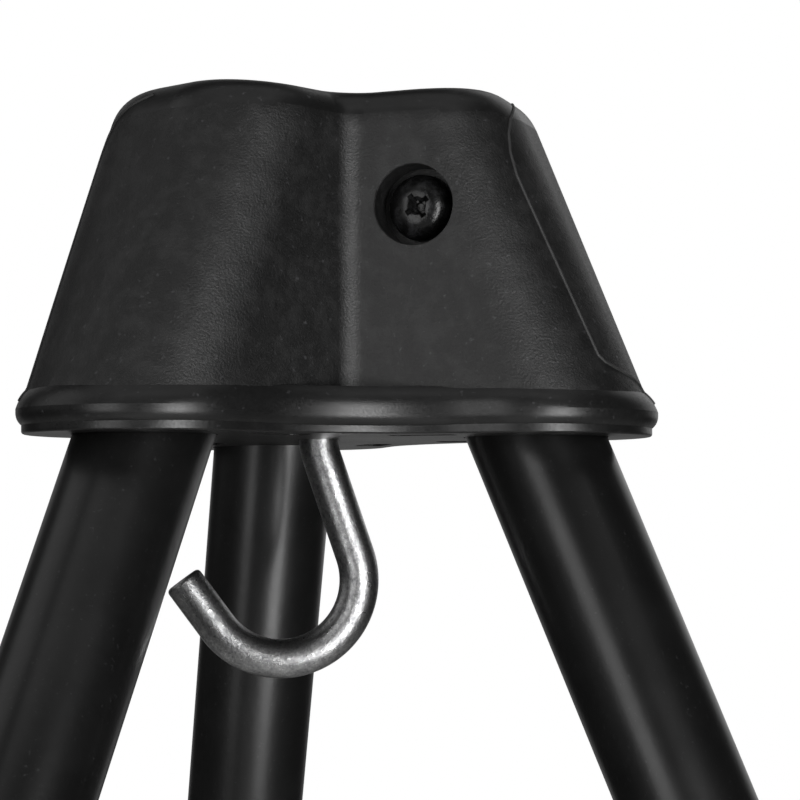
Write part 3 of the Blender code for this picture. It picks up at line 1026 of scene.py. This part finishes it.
def build_collar():
    """The clamp collar: a ribbed sleeve with a boss for the clamp screw."""
    middle = COLLAR_MIDDLE
    low, high = middle - 30 * MM, middle + 30 * MM
    sleeve = drum("collar", 16.4 * MM, low, high, ROUND)
    for at in (low + 7 * MM, high - 7 * MM, high - 12 * MM):
        groove = drum("groove", 18 * MM, at - 0.9 * MM, at + 0.9 * MM, ROUND)
        combine(groove, drum("groove_core", 15.5 * MM, at - 2 * MM, at + 2 * MM, ROUND))
        combine(sleeve, groove)
    boss = drum("boss", 10.2 * MM, 13 * MM, 26 * MM, 64, 9.0 * MM)
    combine(sleeve, settle(boss, clamp_turn()), "UNION")
    rib = block("rib", (14 * MM, -1.6 * MM, middle), (22 * MM, 1.6 * MM, middle + 20 * MM))
    pick_verts(rib, lambda p: p.z > middle + 15 * MM and p.x > 16 * MM)
    bpy.ops.transform.translate(value=(-6 * MM, 0, 0))
    leave()
    combine(sleeve, rib, "UNION")
    combine(sleeve, drum("bore_a", 13.0 * MM, middle - GAP, high + MM, ROUND))
    combine(sleeve, drum("bore_b", 11.4 * MM, low - MM, middle, ROUND))
    combine(sleeve, settle(drum("seat", 6.3 * MM, 14 * MM, 30 * MM, HALF_ROUND), clamp_turn()))
    combine(sleeve, settle(drum("path", 4.3 * MM, 5 * MM, 15 * MM, HALF_ROUND), clamp_turn()))
    soften(sleeve, 0.6 * MM, 3, 40)
    return smooth(sleeve, 35, True)


def build_knob():
    """A six-lobed hand knob, dished on its outer face."""
    low, high = 27 * MM, 45 * MM
    knob = drum("knob", 17.4 * MM, low, high, ROUND)
    for k in range(6):
        bite = drum("bite", 6.2 * MM, low - MM, high + MM, HALF_ROUND)
        settle(bite, Matrix.Translation((21.6 * MM, 0, 0)))
        combine(knob, settle(bite, turn_about_z(60 * k)))
    soften(knob, 1.6 * MM, 4, 40)
    dish = drum("dish", 8.5 * MM, high - 1.4 * MM, high + MM, 64, 10.5 * MM)
    combine(knob, dish)
    neck = drum("neck", 9.5 * MM, low - 0.4 * MM, low + 3 * MM, 64)
    combine(knob, neck, "UNION")
    combine(knob, drum("stud_seat", 4.3 * MM, low - MM, low + 9.3 * MM, HALF_ROUND))
    soften(knob, 0.35 * MM, 2, 50)
    return smooth(knob, 35, True)


def build_stud():
    """The clamp screw's stud with its rolled thread."""
    stud = drum("stud", 4.0 * MM, 11.5 * MM, 36 * MM, HALF_ROUND)
    pitch, first, turns = 1.25 * MM, 13.5 * MM, 9
    for k in range(turns):
        at = first + k * pitch
        groove = drum("thread", 5 * MM, at - 0.42 * MM, at + 0.42 * MM, HALF_ROUND)
        core = drum("thread_core", 3.45 * MM, at - MM, at + MM, HALF_ROUND)
        combine(groove, core)
        combine(stud, groove)
    soften(stud, 0.15 * MM, 1, 40)
    return smooth(stud, 30)


class STAND_OT_clamps(bpy.types.Operator):
    """Models the clamp collars with their hand knobs and studs"""

    bl_idname = "stand.clamps"
    bl_label = "Clamp collars and knobs"

    def execute(self, context):
        collar, knob, stud = build_collar(), build_knob(), build_stud()
        for name, degrees in PLACES:
            node = f"clamp_collar_{name}"
            piece = copy_of(collar, f"{node}_ribbed", leg_frame(degrees))
            finish_piece(piece, "moulded", "stand", "black_plastic", node)
            body, node = f"clamp_knob_{name}", f"knob_{name}"
            piece = copy_of(knob, f"{node}_lobed", knob_frame(degrees))
            finish_piece(piece, "moulded", body, "black_plastic", node)
            node = f"knob_stud_{name}"
            piece = copy_of(stud, f"{node}_threaded", knob_frame(degrees))
            finish_piece(piece, "zinc", body, "zinc", node)
            coat(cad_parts[f"thread_insert_{name}"], "brass")
        for piece in (collar, knob, stud):
            drop(piece)
        return {"FINISHED"}


def build_foot():
    """A rubber boot in the radial frame at the ground: flat treaded sole, leaning ribbed socket."""
    sole = drum("foot", 26 * MM, 0, 9 * MM, ROUND)
    pick_edges(sole, lambda a, b: a.z > 8.9 * MM and b.z > 8.9 * MM)
    bevel(2.2 * MM, 5)
    leave()
    pick_edges(sole, lambda a, b: a.z < 0.1 * MM and b.z < 0.1 * MM)
    bevel(0.8 * MM, 3)
    leave()
    for radius in (8.5, 14.0, 19.5):
        tread = drum("tread", (radius + 1.0) * MM, -MM, 1.2 * MM, ROUND)
        combine(tread, drum("tread_core", (radius - 1.0) * MM, -2 * MM, 2 * MM, ROUND))
        combine(sole, tread)
    lean = foot_frame(0).inverted() @ leg_frame(0)
    radius = 14.8 * MM
    low = -LEG_LENGTH + (radius * math.sin(SPLAY) + MM) / math.cos(SPLAY)
    high = low + 52 * MM
    boot = drum("boot", radius, low - 9 * MM, high, ROUND)
    for k in range(4):
        at = high - (8 + 5 * k) * MM
        groove = drum("rib_gap", 18 * MM, at - 1.1 * MM, at + 1.1 * MM, ROUND)
        combine(groove, drum("rib_core", 13.9 * MM, at - 2 * MM, at + 2 * MM, ROUND))
        combine(boot, groove)
    soften(boot, 0.7 * MM, 3, 50)
    settle(boot, lean)
    combine(boot, block("ground", (-WIDE, -WIDE, -WIDE), (WIDE, WIDE, 3 * MM)))
    combine(sole, boot, "UNION")
    seat = drum("foot_seat", 11.4 * MM, LOWER_TUBE_FOOT - GAP, high + MM, ROUND)
    combine(sole, settle(seat, lean))
    return smooth(sole, 38, True)


class STAND_OT_feet(bpy.types.Operator):
    """Models the treaded rubber feet"""

    bl_idname = "stand.feet"
    bl_label = "Rubber feet"

    def execute(self, context):
        foot = build_foot()
        for name, degrees in PLACES:
            node = f"foot_{name}"
            piece = copy_of(foot, f"{node}_boot", foot_frame(degrees))
            finish_piece(piece, "rubber", f"lower_leg_{name}", "rubber", node)
        drop(foot)
        return {"FINISHED"}


def soft_light(name, azimuth, elevation, distance, width, height, watts, target):
    """A soft rectangle of light facing the target, itself unseen by the camera."""
    a, e = math.radians(azimuth), math.radians(elevation)
    toward = Vector((math.cos(a) * math.cos(e), math.sin(a) * math.cos(e), math.sin(e)))
    lamp = bpy.data.lights.new(name, "AREA")
    lamp.shape = "RECTANGLE"
    lamp.size = width
    lamp.size_y = height
    lamp.energy = watts
    made = bpy.data.objects.new(name, lamp)
    bpy.context.scene.collection.objects.link(made)
    made.location = target + toward * distance
    made.rotation_euler = toward.to_track_quat("Z", "Y").to_euler()
    made.visible_camera = False


class STAND_OT_stage(bpy.types.Operator):
    """Sets the floor, the soft studio light and the camera"""

    bl_idname = "stand.stage"
    bl_label = "Stage"

    def execute(self, context):
        look = context.scene.stand_looks
        fresh()
        bpy.ops.mesh.primitive_plane_add(size=7.0, location=(0, 0, -0.0005))
        floor = named("floor")
        made, tree, shader = new_finish("Studio floor", Roughness=0.7)
        marks = use_group(tree, handling_group, Rub_Scale=3.0)
        lighter = tuple(min(1.0, c * 1.04) for c in look.floor)
        colour = tint(tree, marks.outputs["Rub"], tuple(look.floor), lighter)
        tree.links.new(colour, shader.inputs["Base Color"])
        tree.links.new(colour, shader.inputs["Emission Color"])
        path = tree.nodes.new("ShaderNodeLightPath")
        seen = sums(tree, "MULTIPLY", path.outputs["Is Camera Ray"], 0.8)
        tree.links.new(seen, shader.inputs["Emission Strength"])
        floor.data.materials.append(made)

        world = context.scene.world or bpy.data.worlds.new("Studio")
        context.scene.world = world
        world.use_nodes = True
        nodes, links = world.node_tree.nodes, world.node_tree.links
        nodes.clear()
        out = nodes.new("ShaderNodeOutputWorld")
        mix = nodes.new("ShaderNodeMixShader")
        path = nodes.new("ShaderNodeLightPath")
        seen = nodes.new("ShaderNodeBackground")
        room = nodes.new("ShaderNodeBackground")
        for node, strength in ((seen, 1.0), (room, look.surround)):
            node.inputs["Color"].default_value = (1, 1, 1, 1)
            node.inputs["Strength"].default_value = strength
        links.new(path.outputs["Is Camera Ray"], mix.inputs[0])
        links.new(room.outputs[0], mix.inputs[1])
        links.new(seen.outputs[0], mix.inputs[2])
        links.new(mix.outputs[0], out.inputs["Surface"])

        target = Vector((0, AXIS_Y, HUB_BASE))
        for light in (
            ("Right soft light", -77.5, -9, 1.5, 0.55, 1.15, look.key),
            ("Left soft light", -137.5, 1, 1.5, 0.60, 1.3, look.fill),
            ("Back light", 77.5, 8, 1.8, 2.4, 2.2, look.back),
            ("Left rear light", 165, 30, 1.7, 1.2, 1.5, look.wrap),
            ("Right rear light", 45, 22, 1.7, 1.0, 1.5, look.wrap * 0.8),
            ("High front light", -102.5, 52, 1.7, 2.2, 0.6, look.high),
            ("Low light", -100, -48, 1.25, 1.5, 1.0, look.low),
            ("Top light", -100, 80, 1.6, 2.0, 1.6, look.top),
        ):
            soft_light(*light, target)

        camera_data = bpy.data.cameras.new("Camera")
        camera = bpy.data.objects.new("Camera", camera_data)
        context.scene.collection.objects.link(camera)
        around = math.radians(VIEW_AROUND)
        distance = VIEW_DISTANCE * TUBE
        camera.location = (
            distance * math.sin(around),
            AXIS_Y - distance * math.cos(around),
            HUB_BASE - VIEW_DROP * TUBE,
        )
        camera.rotation_euler = (
            math.radians(90 + VIEW_TILT),
            math.radians(VIEW_ROLL),
            around + math.radians(VIEW_YAW),
        )
        camera_data.sensor_width = 36.0
        camera_data.lens = VIEW_LENS
        camera_data.shift_y = VIEW_SHIFT
        camera_data.clip_start = 0.02
        camera_data.clip_end = 50.0
        context.scene.camera = camera
        context.scene.view_settings.view_transform = "Standard"
        return {"FINISHED"}


class STAND_PT_panel(bpy.types.Panel):
    """The stand's pieces and their main sizes"""

    bl_label = "Tripod Stand"
    bl_idname = "STAND_PT_panel"
    bl_space_type = "VIEW_3D"
    bl_region_type = "UI"
    bl_category = "Stand"

    def draw(self, context):
        layout = self.layout
        for operator in OPERATORS:
            layout.operator(operator.bl_idname)
        for name in GROUPS:
            group = getattr(context.scene, name)
            for key in group.__annotations__:
                layout.prop(group, key)


OPERATORS = (
    STAND_OT_head,
    STAND_OT_hook,
    STAND_OT_screws,
    STAND_OT_tubes,
    STAND_OT_clamps,
    STAND_OT_feet,
    STAND_OT_stage,
)
GROUPS = {
    "stand_head": StandHeadSizes,
    "stand_hook": StandHookSizes,
    "stand_legs": StandLegSizes,
    "stand_looks": StandLooks,
}


def register():
    for kind in (*GROUPS.values(), *OPERATORS, STAND_PT_panel):
        bpy.utils.register_class(kind)
    for name, kind in GROUPS.items():
        setattr(bpy.types.Scene, name, bpy.props.PointerProperty(type=kind))


def unregister():
    for name in GROUPS:
        delattr(bpy.types.Scene, name)
    for kind in reversed((*GROUPS.values(), *OPERATORS, STAND_PT_panel)):
        bpy.utils.unregister_class(kind)


def main():
    register()
    bpy.ops.stand.head()
    bpy.ops.stand.hook()
    bpy.ops.stand.screws()
    bpy.ops.stand.tubes()
    bpy.ops.stand.clamps()
    bpy.ops.stand.feet()
    bpy.ops.stand.stage()


if __name__ == "__main__":
    main()
